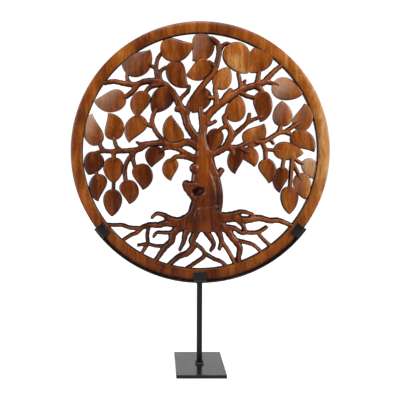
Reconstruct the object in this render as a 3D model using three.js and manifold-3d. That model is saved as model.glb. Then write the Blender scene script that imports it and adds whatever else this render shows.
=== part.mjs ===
// A pierced tree-of-life disc, carved from one hardwood board, in a welded iron stand.
// Millimetres, +Z up. The origin is the middle of the base plate's underside, and the
// disc's face looks along -Y.

import * as THREE from 'three';
import { mergeVertices } from 'three/addons/utils/BufferGeometryUtils.js';
import Module from 'manifold-3d';

const wasm = await Module();
wasm.setup();

// ---------------------------------------------------------------- driving dimensions

const gap = 0.3;                  // left between solids that touch or are welded together

const plateWidth = 76;            // base plate, square
const plateThickness = 5;
const postSide = 8;               // square bar
const postLength = 130;

const discDiameter = 400;
const rimWidth = 18;              // face of the rim, measured along a radius
const rimThickness = 12;
const rimEdge = 1.2;              // softened corners of the rim

const bandThickness = 2;          // flat bar of the cradle
const bandHalfAngle = 54;         // degrees that the cradle climbs on each side
const bandLip = 1;                // band left in front of and behind the tabs, for the weld
const seatClearance = 0.3;        // between the disc's edge and the cradle

const tabThickness = 2;           // flat tabs that keep the disc from tipping out
const tabLength = 20;             // along the band
const tabReach = 13;              // over the rim's face
const tabClearance = 0.6;         // between a tab and the rim's face

const footWeldLeg = 3;            // fillet where the post stands on the plate
const headWeldLeg = 2.5;          // fillet where the cradle sits on the post
const tabWeldHeight = 2;

// relief of the carving, as depths from the middle of the board (front is negative)
const carvingBack = 5;
const branchFront = -3.5;
const branchFrontShare = 0.6;     // width of a branch's front as a share of its back
const trunkFront = -8;
const trunkFrontShare = 0.55;
const leafBack = 3;
const leafEdge = -1.5;
const leafCrest = -4;
const leafStep = 1.1;             // how much further forward an overlapping leaf lies

const rimSteps = 96;              // sides of the rim and cradle circles
const branchStep = 11;            // length of one straight piece of a carved branch
const leafSteps = 7;

// ---------------------------------------------------------------- what follows from them

const discRadius = discDiameter / 2;
const rimInnerRadius = discRadius - rimWidth;
const bandInnerRadius = discRadius + seatClearance;
const bandOuterRadius = bandInnerRadius + bandThickness;
const tabInnerFace = rimThickness / 2 + tabClearance;
const tabOuterFace = tabInnerFace + tabThickness;
const bandWidth = 2 * (tabOuterFace + bandLip);

const postBottom = plateThickness + gap;
const postTop = postBottom + postLength;
const discCentre = postTop + gap + bandOuterRadius;

// The carving is laid out for a rim of this inner radius, and follows the rim's own.
const layoutRadius = 182;
const layoutScale = rimInnerRadius / layoutRadius;

// ---------------------------------------------------------------- the carving's layout
// Millimetres from the disc's centre, x to the right and z up, as seen from the front.

// trunk: x, z and width, from its foot between the roots to the crotch of the crown
const trunk = [
  [7, -122, 64], [7, -108, 60], [7, -89, 46], [10, -66, 45], [8, -45, 42],
  [7, -25, 37], [6, -8, 31], [4, 10, 19], [4, 24, 14], [8, 50, 11],
];

// limbs and twigs: width at the start, width at the end, then x and z of their points
const branches = [
  // left stem, from the trunk to the rim
  [13, 9, [[3, 12], [-9, 26], [-19, 41], [-24, 58], [-34, 77], [-43, 93], [-55, 104]]],
  [10, 6, [[-50, 101], [-66, 109], [-85, 109], [-100, 104], [-118, 106], [-134, 109], [-150, 106]]],
  [8, 7, [[-96, 105], [-105, 93], [-117, 84]]],
  [7, 6, [[-60, 104], [-73, 102], [-81, 97], [-86, 89]]],
  [7, 5, [[-61, 106], [-67, 118], [-68, 131], [-65, 145], [-56, 156]]],
  [5, 5, [[-68, 130], [-74, 132], [-80, 136]]],
  [5, 5, [[-57, 105], [-62, 116], [-60, 126], [-50, 132]]],
  [5, 5, [[-108, 106], [-113, 114], [-112, 122]]],
  [6, 6, [[-34, 76], [-27, 86], [-19, 94], [-17, 104]]],
  [9, 8, [[-28, 65], [-40, 67]]],
  // middle stem, leaving the left one and climbing to the top leaves
  [10, 7, [[-22, 58], [-14, 77], [-3, 94], [9, 109], [21, 123], [27, 142], [29, 156], [26, 168], [14, 176]]],
  [6, 5, [[29, 152], [33, 161], [40, 167], [52, 162]]],
  [7, 6, [[24, 131], [11, 140]]],
  // twig under the middle leaf
  [8, 8, [[0, 70], [2, 52], [3, 40], [1, 24]]],
  [6, 5, [[8, 41], [17, 44], [26, 49]]],
  // left limb, with its two roots on the trunk
  [10, 7, [[-4, -14], [-16, -9], [-27, -7], [-38, -8], [-46, -15]]],
  [9, 6, [[-8, -9], [-20, -3], [-33, 4], [-47, 7], [-58, 4], [-68, -2]]],
  [12, 8, [[-2, 6], [-12, 13], [-23, 15], [-33, 11], [-45, 11], [-58, 14], [-74, 13], [-92, 11]]],
  [6, 3, [[-90, 11], [-100, 16]]],
  [9, 5, [[-84, 11], [-96, 4], [-112, 2], [-135, 1], [-152, 1], [-166, -3]]],
  [6, 6, [[-148, 1], [-154, 8], [-157, 18]]],
  [6, 5, [[-122, 2], [-130, 9], [-134, 24]]],
  [7, 6, [[-134, 1], [-134, -14]]],
  [7, 6, [[-96, 5], [-107, -6], [-114, -17], [-117, -30], [-115, -48]]],
  [6, 6, [[-103, 0], [-104, -12], [-100, -26]]],
  [7, 6, [[-51, 13], [-66, 28], [-74, 44], [-73, 56], [-67, 68]]],
  [7, 6, [[-72, 40], [-80, 42], [-90, 46]]],
  // short stalks of the lowest leaves on the left
  [5, 5, [[-162, -30], [-158, -44]]],
  [5, 5, [[-134, -42], [-135, -64]]],
  // right stem, from the crotch to the rim
  [13, 9, [[8, 44], [11, 55], [23, 68], [36, 78], [50, 88], [66, 97], [88, 104], [103, 109]]],
  [9, 6, [[98, 107], [107, 117], [117, 127], [129, 136]]],
  [8, 6, [[33, 76], [40, 88], [49, 98]]],
  [8, 6, [[24, 68], [25, 85], [23, 97], [25, 108]]],
  [6, 6, [[24, 84], [11, 84]]],
  [6, 5, [[62, 94], [62, 106], [58, 124]]],
  [5, 4, [[64, 97], [70, 112]]],
  [7, 6, [[86, 103], [89, 113], [91, 126]]],
  [6, 5, [[101, 108], [112, 106], [122, 102]]],
  [8, 7, [[84, 102], [93, 97], [98, 86]]],
  [6, 6, [[62, 92], [71, 87], [86, 83]]],
  // right limb
  [14, 9, [[6, -12], [18, -3], [30, 2], [40, 9], [46, 22]]],
  [9, 7, [[45, 18], [48, 31], [41, 43], [38, 54], [46, 62]]],
  [6, 5, [[43, 40], [34, 37], [26, 30]]],
  [8, 5, [[46, 16], [52, 26], [62, 35], [73, 46], [77, 61]]],
  [6, 5, [[71, 44], [82, 50], [90, 53], [98, 56]]],
  [9, 7, [[36, 6], [48, 7], [61, 8], [78, 18]]],
  [7, 7, [[56, 7], [66, 4], [76, -2]]],
  [9, 7, [[44, 8], [50, 3], [52, -6]]],
  // right spray beyond the leaf that hides its stem
  [7, 6, [[84, 16], [98, 16], [108, 21], [121, 29], [133, 32], [143, 39], [154, 46]]],
  [6, 5, [[120, 28], [124, 36], [126, 48]]],
  [6, 5, [[131, 31], [141, 27], [152, 22]]],
  [6, 3, [[106, 20], [111, 17], [115, 11]]],
  [6, 6, [[96, 15], [101, 4], [102, -8], [103, -20]]],
  [5, 5, [[100, 4], [112, 3], [124, 1]]],
  [5, 5, [[131, -8], [129, -20], [128, -32]]],
  [6, 5, [[144, -6], [142, -28], [140, -62]]],
  [5, 5, [[145, -18], [152, -32], [158, -44]]],
  [5, 5, [[144, -6], [153, -15], [166, -21]]],
  // stubs low on the trunk
  [14, 8, [[-4, -57], [-16, -53], [-28, -48]]],
  [13, 7, [[20, -50], [27, -37], [36, -25]]],
];

// roots, in the same form
const roots = [
  [18, 7, [[-6, -98], [-22, -105], [-34, -108], [-47, -104], [-57, -97]]],
  [7, 4, [[-54, -99], [-67, -96], [-76, -104]]],
  [14, 6, [[-12, -108], [-34, -112], [-53, -111], [-64, -114], [-80, -114], [-95, -120]]],
  [6, 5, [[-92, -119], [-109, -118], [-121, -114], [-134, -114], [-150, -113]]],
  [6, 5, [[-90, -118], [-98, -126], [-108, -130], [-126, -142]]],
  [6, 5, [[-79, -113], [-82, -130], [-82, -144], [-96, -166]]],
  [4, 5, [[-98, -146], [-82, -144], [-67, -147], [-50, -146]]],
  [14, 6, [[-14, -112], [-31, -118], [-42, -128], [-44, -139], [-54, -149], [-73, -176]]],
  [6, 4, [[-40, -126], [-56, -126], [-67, -126], [-73, -134]]],
  [12, 4, [[-14, -116], [-22, -127], [-25, -140], [-32, -155]]],
  [12, 6, [[-2, -118], [-7, -128], [-12, -139], [-10, -147], [-19, -158], [-33, -164], [-54, -182]]],
  [6, 5, [[-10, -142], [-2, -147], [6, -155], [7, -163], [-3, -171], [-26, -186]]],
  [6, 5, [[7, -158], [22, -167], [34, -172], [48, -184]]],
  [12, 4, [[6, -118], [13, -128], [20, -139], [22, -146], [16, -156]]],
  [12, 4, [[20, -114], [29, -125], [34, -139], [30, -154]]],
  [6, 6, [[33, -136], [38, -145], [45, -155], [58, -180]]],
  [14, 6, [[20, -108], [40, -119], [50, -132], [58, -142], [63, -151], [61, -166], [64, -180]]],
  [6, 5, [[53, -137], [71, -141], [85, -146], [100, -160]]],
  [8, 6, [[38, -117], [54, -119], [65, -126], [74, -125]]],
  [12, 4, [[18, -94], [36, -99], [51, -97], [66, -93], [85, -98]]],
  [14, 6, [[16, -100], [36, -104], [55, -103], [71, -106], [92, -103], [109, -107], [124, -107], [148, -117]]],
  [7, 5, [[54, -103], [67, -114], [73, -125], [91, -125], [106, -116]]],
  [5, 6, [[89, -124], [99, -136], [116, -152]]],
];

// leaves: x and z of the middle, heading of the tip in degrees, length, width and how
// many leaf steps forward it lies
const leaves = [
  [-36, 158, 8, 52, 38, 1],
  [-95, 138, 35, 52, 41, 0],
  [-34, 118, -58, 48, 33, 0],
  [-139, 78, 187, 50, 35, 1],
  [-93, 74, -108, 42, 30, 1],
  [-60, 79, -128, 46, 34, 0],
  [-101, 36, -122, 46, 31, 0],
  [-134, 40, 101, 43, 32, 0],
  [-166, 34, 102, 50, 31, 1],
  [-43, 33, 103, 48, 32, 0],
  [-166, -18, -112, 38, 32, 0],
  [-134, -28, -90, 41, 32, 1],
  [-159, -55, -98, 43, 28, 0],
  [-136, -79, -92, 43, 30, 0],
  [-109, -62, -81, 38, 30, 0],
  [-88, -38, -81, 41, 32, 1],
  [-71, -7, -115, 34, 29, 0],
  [-46, -27, -97, 35, 25, 0],
  [-1, 79, -122, 44, 31, 0],
  [2, 159, -115, 46, 38, 0],
  [-2, 125, -152, 42, 32, -1],
  [58, 143, -55, 54, 42, 1],
  [90, 141, -125, 46, 38, 0],
  [35, 114, 62, 38, 30, 0],
  [134, 96, -18, 49, 35, 1],
  [97, 70, -90, 48, 30, 1],
  [55, 67, 73, 42, 32, 0],
  [127, 59, 93, 40, 31, 0],
  [160, 53, 76, 43, 30, 0],
  [22, 18, -105, 38, 27, 0],
  [86, 26, 43, 43, 32, 1],
  [161, 17, -37, 45, 31, 1],
  [137, 1, -7, 47, 29, 0],
  [79, -7, -60, 33, 26, 0],
  [54, -14, -98, 40, 25, 0],
  [106, -29, -76, 39, 27, 0],
  [125, -43, -101, 41, 23, 0],
  [171, -26, -70, 34, 24, 0],
  [160, -53, -80, 42, 27, 0],
  [139, -75, -90, 44, 28, 0],
];

// a leaf's width along its length, as shares of its greatest width
const leafOutline = [0.1, 0.8, 0.97, 1, 0.92, 0.75, 0.48, 0.04];

// ---------------------------------------------------------------- materials

function paint(color, roughness, metalness) {
  return new THREE.MeshStandardMaterial({ color, roughness, metalness });
}

const wood = paint(0x8b4a22, 0.4, 0);
const iron = paint(0x262626, 0.45, 0.6);
const weldIron = paint(0x333333, 0.5, 0.7);

// ---------------------------------------------------------------- shaping helpers

// A closed bar along a curve in the board's plane. A section is a list of side and depth
// pairs, its sides being shares of half the width, which widthAt gives along the curve.
function sweep(curve, steps, widthAt, section) {
  const vertices = [];
  const triangles = [];
  const count = section.length;
  for (let step = 0; step <= steps; step += 1) {
    const along = step / steps;
    const centre = curve.getPointAt(along);
    const heading = curve.getTangentAt(along);
    const halfWidth = widthAt(along) / 2;
    for (const [side, depth] of section) {
      vertices.push(centre.x + heading.y * side * halfWidth);
      vertices.push(depth);
      vertices.push(centre.y - heading.x * side * halfWidth);
    }
  }
  for (let step = 0; step < steps; step += 1) {
    for (let corner = 0; corner < count; corner += 1) {
      const next = (corner + 1) % count;
      const a = step * count + corner;
      const b = step * count + next;
      triangles.push(a, b + count, b, a, a + count, b + count);
    }
  }
  const last = steps * count;
  for (let corner = 1; corner < count - 1; corner += 1) {
    triangles.push(0, corner, corner + 1);
    triangles.push(last, last + corner + 1, last + corner);
  }
  const geometry = new THREE.BufferGeometry();
  geometry.setAttribute('position', new THREE.Float32BufferAttribute(vertices, 3));
  geometry.setIndex(triangles);
  return geometry;
}

function flatCurve(points) {
  const scaled = points.map(([x, z]) => new THREE.Vector2(x * layoutScale, z * layoutScale));
  return new THREE.SplineCurve(scaled);
}

// a flat back, and a front narrowed to this share of the back
function barSection(front, frontShare) {
  return [[-1, carvingBack], [1, carvingBack], [frontShare, front], [-frontShare, front]];
}

function solidOf(geometry) {
  const bare = geometry.clone();
  bare.deleteAttribute('normal');
  bare.deleteAttribute('uv');
  const merged = mergeVertices(bare, 1e-4);
  const vertProperties = new Float32Array(merged.getAttribute('position').array);
  const triVerts = new Uint32Array(merged.getIndex().array);
  return new wasm.Manifold(new wasm.Mesh({ numProp: 3, vertProperties, triVerts }));
}

function geometryOf(solid) {
  const mesh = solid.getMesh();
  const geometry = new THREE.BufferGeometry();
  geometry.setAttribute('position', new THREE.Float32BufferAttribute(mesh.vertProperties, 3));
  geometry.setIndex(new THREE.Uint32BufferAttribute(mesh.triVerts, 1));
  geometry.computeVertexNormals();
  return geometry;
}

const model = new THREE.Group();

function place(name, geometry, material, parent) {
  const mesh = new THREE.Mesh(geometry, material);
  mesh.name = name;
  parent.add(mesh);
  return mesh;
}

// ---------------------------------------------------------------- the carved disc

function rimGeometry() {
  const half = rimThickness / 2;
  const outline = [
    [discRadius - rimEdge, -half], [discRadius, -half + rimEdge],
    [discRadius, half - rimEdge], [discRadius - rimEdge, half],
    [rimInnerRadius + rimEdge, half], [rimInnerRadius, half - rimEdge],
    [rimInnerRadius, -half + rimEdge], [rimInnerRadius + rimEdge, -half],
    [discRadius - rimEdge, -half],
  ];
  return new THREE.LatheGeometry(outline.map(([r, y]) => new THREE.Vector2(r, y)), rimSteps);
}

function trunkGeometry() {
  const curve = flatCurve(trunk);
  const widths = new THREE.SplineCurve(trunk.map((row, index) => new THREE.Vector2(index, row[2])));
  const widthAt = (along) => widths.getPoint(along).y * layoutScale;
  return sweep(curve, 2 * trunk.length, widthAt, barSection(trunkFront, trunkFrontShare));
}

function branchGeometry([startWidth, endWidth, points]) {
  const curve = flatCurve(points);
  const steps = Math.max(1, Math.round(curve.getLength() / branchStep));
  const widthAt = (along) => (startWidth + (endWidth - startWidth) * along) * layoutScale;
  return sweep(curve, steps, widthAt, barSection(branchFront, branchFrontShare));
}

function leafGeometry([x, z, heading, length, width, layer]) {
  const angle = THREE.MathUtils.degToRad(heading);
  const reach = new THREE.Vector2(Math.cos(angle), Math.sin(angle)).multiplyScalar(length / 2);
  const curve = flatCurve([[x - reach.x, z - reach.y], [x + reach.x, z + reach.y]]);
  const widthAt = (along) => leafOutline[Math.round(along * leafSteps)] * width * layoutScale;
  const forward = layer * leafStep;
  const section = [
    [-1, leafBack], [1, leafBack], [1, leafEdge - forward], [0, leafCrest - forward],
    [-1, leafEdge - forward],
  ];
  return sweep(curve, leafSteps, widthAt, section);
}

const discParts = [rimGeometry(), trunkGeometry()];
discParts.push(...branches.map(branchGeometry));
discParts.push(...roots.map(branchGeometry));
discParts.push(...leaves.map(leafGeometry));

const discSolid = wasm.Manifold.union(discParts.map(solidOf));
place('carved_disc', geometryOf(discSolid), wood, model).position.z = discCentre;

// ---------------------------------------------------------------- the iron stand

const basePlate = place(
  'base_plate', new THREE.BoxGeometry(plateWidth, plateWidth, plateThickness), iron, model);
basePlate.position.z = plateThickness / 2;

const post = place('post', new THREE.BoxGeometry(postSide, postSide, postLength), iron, model);
post.position.z = (postBottom + postTop) / 2;

// Arc pieces are drawn about the disc's centre with x to the right and y up, extruded
// towards the front, and stood up.
function arcGeometry(innerRadius, outerRadius, middle, halfAngle, front, back, steps) {
  const shape = new THREE.Shape();
  const start = THREE.MathUtils.degToRad(middle - halfAngle);
  const end = THREE.MathUtils.degToRad(middle + halfAngle);
  shape.absarc(0, 0, outerRadius, start, end, false);
  shape.absarc(0, 0, innerRadius, end, start, true);
  shape.closePath();
  const options = { depth: back - front, bevelEnabled: false, curveSegments: steps };
  const geometry = new THREE.ExtrudeGeometry(shape, options);
  geometry.rotateX(Math.PI / 2);
  geometry.translate(0, back, 0);
  return geometry;
}

const cradle = new THREE.Group();
cradle.position.z = discCentre;
model.add(cradle);

const bandSteps = Math.round(rimSteps * bandHalfAngle / 180);
const down = -90;
place('cradle_band', arcGeometry(bandInnerRadius, bandOuterRadius, down, bandHalfAngle,
  -bandWidth / 2, bandWidth / 2, bandSteps), iron, cradle);

// Each clip is a pair of flat tabs welded to the inside of the band, with the rim between.
const tabHalfAngle = THREE.MathUtils.radToDeg(tabLength / 2 / bandInnerRadius);
const tabFoot = bandInnerRadius - gap;
const tabTop = discRadius - tabReach;
const clips = [
  ['left', down - bandHalfAngle + tabHalfAngle],
  ['bottom', down],
  ['right', down + bandHalfAngle - tabHalfAngle],
];
const faces = [['front', -1], ['back', 1]];

// a three-sided fillet along the outer foot of a tab
function tabWeldGeometry(middle, direction) {
  const near = direction * (tabOuterFace + gap);
  const far = direction * (tabOuterFace + bandLip);
  const start = new THREE.Vector3(tabFoot, near, 0);
  const edge = new THREE.Vector3(tabFoot, far, 0);
  const crest = new THREE.Vector3(tabFoot - tabWeldHeight, near, 0);
  const corners = direction > 0 ? [start, crest, edge] : [start, edge, crest];
  const vertices = [];
  for (const turn of [middle - tabHalfAngle, middle + tabHalfAngle]) {
    const angle = THREE.MathUtils.degToRad(turn);
    for (const { x, y } of corners) {
      vertices.push(x * Math.cos(angle), y, x * Math.sin(angle));
    }
  }
  const geometry = new THREE.BufferGeometry();
  geometry.setAttribute('position', new THREE.Float32BufferAttribute(vertices, 3));
  geometry.setIndex([0, 1, 2, 3, 5, 4, 0, 3, 4, 0, 4, 1, 1, 4, 5, 1, 5, 2, 2, 5, 3, 2, 3, 0]);
  return geometry;
}

for (const [side, middle] of clips) {
  for (const [face, direction] of faces) {
    const limits = [direction * tabInnerFace, direction * tabOuterFace];
    const tab = arcGeometry(tabTop, tabFoot, middle, tabHalfAngle,
      Math.min(...limits), Math.max(...limits), 3);
    place(`clip_${side}_${face}`, tab, iron, cradle);
    place(`clip_${side}_${face}_weld`, tabWeldGeometry(middle, direction), weldIron, cradle);
  }
}

// A fillet weld all round the post: a square collar, wide at one end and thin at the other.
function collarGeometry(leg, wideEnd, thinEnd) {
  const inner = postSide / 2 + gap;
  const wide = inner + leg;
  const thin = inner + 0.3 * leg;
  const rings = [[inner, wideEnd], [wide, wideEnd], [thin, thinEnd], [inner, thinEnd]];
  const points = rings.map(([side, z]) => new THREE.Vector2(side * Math.SQRT2, z));
  points.push(points[0].clone());
  if (wideEnd > thinEnd) {
    points.reverse();
  }
  const geometry = new THREE.LatheGeometry(points, 4);
  geometry.rotateX(Math.PI / 2);
  geometry.rotateZ(Math.PI / 4);
  return geometry;
}

place('post_foot_weld', collarGeometry(footWeldLeg, postBottom, postBottom + footWeldLeg),
  weldIron, model);
place('post_head_weld', collarGeometry(headWeldLeg, postTop, postTop - headWeldLeg),
  weldIron, model);

export default model;
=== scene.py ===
import math

import bpy
from mathutils import Matrix, Vector


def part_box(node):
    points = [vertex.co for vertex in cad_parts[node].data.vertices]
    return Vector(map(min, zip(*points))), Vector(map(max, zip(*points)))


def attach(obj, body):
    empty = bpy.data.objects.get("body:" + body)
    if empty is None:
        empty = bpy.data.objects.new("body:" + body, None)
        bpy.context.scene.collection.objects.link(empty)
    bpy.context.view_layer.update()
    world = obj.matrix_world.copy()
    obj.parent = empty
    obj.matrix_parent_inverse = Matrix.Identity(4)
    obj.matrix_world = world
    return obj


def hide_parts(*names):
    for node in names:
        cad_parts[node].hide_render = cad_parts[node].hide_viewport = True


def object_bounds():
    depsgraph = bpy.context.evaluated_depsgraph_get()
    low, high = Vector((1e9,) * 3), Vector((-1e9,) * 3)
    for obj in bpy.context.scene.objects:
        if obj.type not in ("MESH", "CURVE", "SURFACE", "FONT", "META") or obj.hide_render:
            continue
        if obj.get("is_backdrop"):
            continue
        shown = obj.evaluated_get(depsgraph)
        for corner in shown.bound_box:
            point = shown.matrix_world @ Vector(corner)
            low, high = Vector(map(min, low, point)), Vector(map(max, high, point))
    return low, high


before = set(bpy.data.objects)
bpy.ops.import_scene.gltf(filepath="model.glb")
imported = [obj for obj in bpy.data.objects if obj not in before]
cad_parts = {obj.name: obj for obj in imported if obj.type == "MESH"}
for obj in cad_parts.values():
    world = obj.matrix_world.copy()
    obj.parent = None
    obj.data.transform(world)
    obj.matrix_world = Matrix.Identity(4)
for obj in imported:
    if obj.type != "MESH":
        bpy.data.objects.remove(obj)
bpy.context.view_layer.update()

# ---------------------------------------------------------------- base plate
# A square cut from flat iron bar, its edges eased with a file, and coated satin black with
# the rest of the stand. It lies flat on the table and the post is welded to its middle.


def take_up(name):
    """Name the piece just added, and put its place into its mesh."""
    piece = bpy.context.object
    piece.name = name
    piece.data.name = name
    bpy.ops.object.transform_apply(location=True, rotation=True, scale=True)
    return piece


def only(*pieces):
    """Select these pieces and nothing else, the last of them active."""
    bpy.ops.object.select_all(action="DESELECT")
    for piece in pieces:
        piece.select_set(True)
        bpy.context.view_layer.objects.active = piece


def cut_bar(name, low, high, edge, shoulder):
    """A block of bar stock: a thin flat land inside each face, then a rounded edge."""
    bpy.ops.object.select_all(action="DESELECT")
    bpy.ops.mesh.primitive_cube_add(size=1, location=(low + high) / 2, scale=high - low)
    bar = take_up(name)
    bpy.ops.object.mode_set(mode="EDIT")
    bpy.ops.mesh.bevel(offset=edge, segments=4, profile=0.5, affect="EDGES")
    bpy.ops.mesh.select_all(action="DESELECT")
    bpy.ops.object.mode_set(mode="OBJECT")
    widest = max(face.area for face in bar.data.polygons)
    for face in bar.data.polygons:
        face.select = face.area > 0.02 * widest and max(map(abs, face.normal)) > 0.99
    bpy.ops.object.mode_set(mode="EDIT")
    bpy.ops.mesh.inset(thickness=shoulder, use_individual=True)
    bpy.ops.object.mode_set(mode="OBJECT")
    bpy.ops.object.shade_smooth_by_angle(angle=math.radians(50))
    return bar


def node_group(name, inputs, outputs):
    """An empty shader group with its sockets, as (group, its input node, its output node)."""
    group = bpy.data.node_groups.new(name, "ShaderNodeTree")
    for label, kind, value in inputs:
        socket = group.interface.new_socket(label, in_out="INPUT", socket_type=kind)
        socket.default_value = value
    for label, kind in outputs:
        group.interface.new_socket(label, in_out="OUTPUT", socket_type=kind)
    return group, group.nodes.new("NodeGroupInput"), group.nodes.new("NodeGroupOutput")


def add_node(tree, kind, links=(), **settings):
    """A node with its settings, and links given as (its input, what feeds it or a value)."""
    node = tree.nodes.new(kind)
    for name, value in settings.items():
        setattr(node, name, value)
    for socket, source in links:
        if isinstance(source, bpy.types.NodeSocket):
            tree.links.new(source, node.inputs[socket])
        else:
            node.inputs[socket].default_value = source
    return node


def arithmetic(tree, operation, first, second=0.0):
    """One sum on values."""
    return add_node(tree, "ShaderNodeMath", [(0, first), (1, second)], operation=operation).outputs[0]


def between(tree, value, low, high, out_low=0.0, out_high=1.0):
    """The value's place between low and high, held to the outputs' range."""
    links = [("Value", value), ("From Min", low), ("From Max", high),
             ("To Min", out_low), ("To Max", out_high)]
    return add_node(tree, "ShaderNodeMapRange", links).outputs["Result"]


def blend(tree, factor, first, second):
    """Two colours mixed."""
    node = add_node(tree, "ShaderNodeMix", data_type="RGBA")
    for socket, source in ((0, factor), (6, first), (7, second)):
        if isinstance(source, bpy.types.NodeSocket):
            tree.links.new(source, node.inputs[socket])
        elif socket == 0:
            node.inputs[socket].default_value = source
        else:
            node.inputs[socket].default_value = (*source, 1)
    return node.outputs[2]


def new_material(name, **settings):
    """A material with its Principled shader's constant settings, as (material, tree, shader)."""
    material = bpy.data.materials.new(name)
    material.use_nodes = True
    shader = material.node_tree.nodes["Principled BSDF"]
    for socket, value in settings.items():
        shader.inputs[socket.replace("_", " ")].default_value = value
    return material, material.node_tree, shader


def coating_group():
    """Powder coat: a fine dimpled skin, thin wear on edges and a little dust on top faces."""
    group, given, result = node_group(
        "powder_coat",
        [("Colour", "NodeSocketColor", (0.012, 0.012, 0.013, 1)),
         ("Dimples", "NodeSocketFloat", 1.0), ("Roughness", "NodeSocketFloat", 0.36)],
        [("Colour", "NodeSocketColor"), ("Roughness", "NodeSocketFloat"), ("Height", "NodeSocketFloat")],
    )
    place = add_node(group, "ShaderNodeTexCoord").outputs["Object"]
    dimples = add_node(group, "ShaderNodeTexNoise", [("Vector", place), ("Scale", 1500.0), ("Detail", 2.0)])
    links = [("Vector", place), ("Scale", 90.0), ("Detail", 3.0)]
    waves = add_node(group, "ShaderNodeTexNoise", links).outputs["Fac"]
    normal = add_node(group, "ShaderNodeNewGeometry").outputs["Normal"]
    up = add_node(group, "ShaderNodeSeparateXYZ", [(0, normal)]).outputs["Z"]
    dust = arithmetic(group, "MULTIPLY", between(group, up, 0.6, 1.0), between(group, waves, 0.45, 0.7))
    rounded = add_node(group, "ShaderNodeBevel", [("Radius", 0.0006)], samples=8).outputs["Normal"]
    along = add_node(group, "ShaderNodeVectorMath", [(0, rounded), (1, normal)], operation="DOT_PRODUCT")
    worn = between(group, along.outputs["Value"], 0.985, 0.90)
    scuffed = arithmetic(group, "MULTIPLY", worn, between(group, waves, 0.5, 0.62))
    dusted = arithmetic(group, "MULTIPLY", dust, 0.10)
    colour = blend(group, dusted, given.outputs["Colour"], (0.20, 0.19, 0.17))
    colour = blend(group, arithmetic(group, "MULTIPLY", scuffed, 0.22), colour, (0.16, 0.15, 0.14))
    uneven = between(group, waves, 0.0, 1.0, -0.025, 0.025)
    rough = arithmetic(group, "ADD", given.outputs["Roughness"], uneven)
    rough = arithmetic(group, "ADD", rough, arithmetic(group, "MULTIPLY", dust, 0.04))
    height = arithmetic(group, "MULTIPLY", dimples.outputs["Fac"], given.outputs["Dimples"])
    group.links.new(colour, result.inputs["Colour"])
    group.links.new(rough, result.inputs["Roughness"])
    group.links.new(height, result.inputs["Height"])
    return group


powder_coat = coating_group()


def coated_iron(name, colour, dimples, roughness):
    """Iron under powder coat."""
    material, tree, shader = new_material(name, Metallic=0.0, Specular_IOR_Level=0.6)
    coat = add_node(tree, "ShaderNodeGroup", node_tree=powder_coat)
    coat.inputs["Colour"].default_value = (*colour, 1)
    coat.inputs["Dimples"].default_value = dimples
    coat.inputs["Roughness"].default_value = roughness
    tree.links.new(coat.outputs["Colour"], shader.inputs["Base Color"])
    tree.links.new(coat.outputs["Roughness"], shader.inputs["Roughness"])
    links = [("Height", coat.outputs["Height"]), ("Strength", 0.12), ("Distance", 0.0003)]
    bump = add_node(tree, "ShaderNodeBump", links)
    tree.links.new(bump.outputs["Normal"], shader.inputs["Normal"])
    return material


def fit(piece, body, material, slot, *nodes):
    """Give a finished piece its material and its body, and hide the nodes that it stands for. The slot is
    not used.
    """
    piece.data.materials.clear()
    piece.data.materials.append(material)
    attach(piece, body)
    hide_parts(*nodes)


plate_low, plate_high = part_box("base_plate")
plate_iron = coated_iron("plate_iron", (0.014, 0.014, 0.015), 0.6, 0.2)
plate = cut_bar("plate", plate_low, plate_high, 0.0007, 0.0012)
fit(plate, "stand", plate_iron, "black_iron", "base_plate")

# ---------------------------------------------------------------- post
# A length of square bar, its corners slightly rounded by the mill, sawn square at both ends
# and welded upright in the middle of the plate.

post_low, post_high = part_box("post")
bar_iron = coated_iron("bar_iron", (0.008, 0.008, 0.009), 1.0, 0.28)
post = cut_bar("upright", post_low, post_high, 0.0006, 0.0008)
fit(post, "stand", bar_iron, "black_iron", "post")

# ---------------------------------------------------------------- welds of the post
# A bead is laid round the foot of the post, and a smaller one under the cradle. Each is a
# row of overlapping puddles, ground no further than the coating needs.


def weld_bead(name, route, radius, flatten):
    """Overlapping puddles along a route, melted into one bead. flatten squashes them upright."""
    bpy.ops.object.select_all(action="DESELECT")
    puddles = []
    for start, end in zip(route, route[1:]):
        count = max(1, round((end - start).length / (0.8 * radius)))
        for number in range(count):
            spot = start.lerp(end, number / count)
            size = radius * (1.0 + 0.12 * math.sin(2.3 * len(puddles)))
            bpy.ops.mesh.primitive_uv_sphere_add(segments=16, ring_count=10, radius=size, location=spot)
            bpy.context.object.scale = (1, 1, flatten)
            puddles.append(bpy.context.object)
    only(*puddles)
    bpy.ops.object.join()
    bead = take_up(name)
    bpy.ops.object.modifier_add(type="REMESH")
    bead.modifiers["Remesh"].mode = "VOXEL"
    bead.modifiers["Remesh"].voxel_size = radius / 6
    bpy.ops.object.modifier_apply(modifier="Remesh")
    bpy.ops.object.modifier_add(type="SMOOTH")
    bead.modifiers["Smooth"].iterations = 3
    bpy.ops.object.modifier_apply(modifier="Smooth")
    bpy.ops.object.shade_smooth()
    return bead


def ring_round_post(height, reach):
    """The corners of a square walked round the post."""
    side = post_high.x + reach
    corners = [(side, side), (-side, side), (-side, -side), (side, -side), (side, side)]
    return [Vector((x, y, height)) for x, y in corners]


weld_iron = coated_iron("weld_iron", (0.018, 0.018, 0.018), 1.6, 0.4)
foot_low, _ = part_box("post_foot_weld")
foot_bead = weld_bead("foot_bead", ring_round_post(foot_low.z + 0.0004, 0.0006), 0.0021, 1.1)
fit(foot_bead, "stand", weld_iron, "painted_weld", "post_foot_weld")
_, head_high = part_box("post_head_weld")
head_bead = weld_bead("head_bead", ring_round_post(head_high.z - 0.0002, 0.0004), 0.0017, 1.0)
fit(head_bead, "stand", weld_iron, "painted_weld", "post_head_weld")

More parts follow.
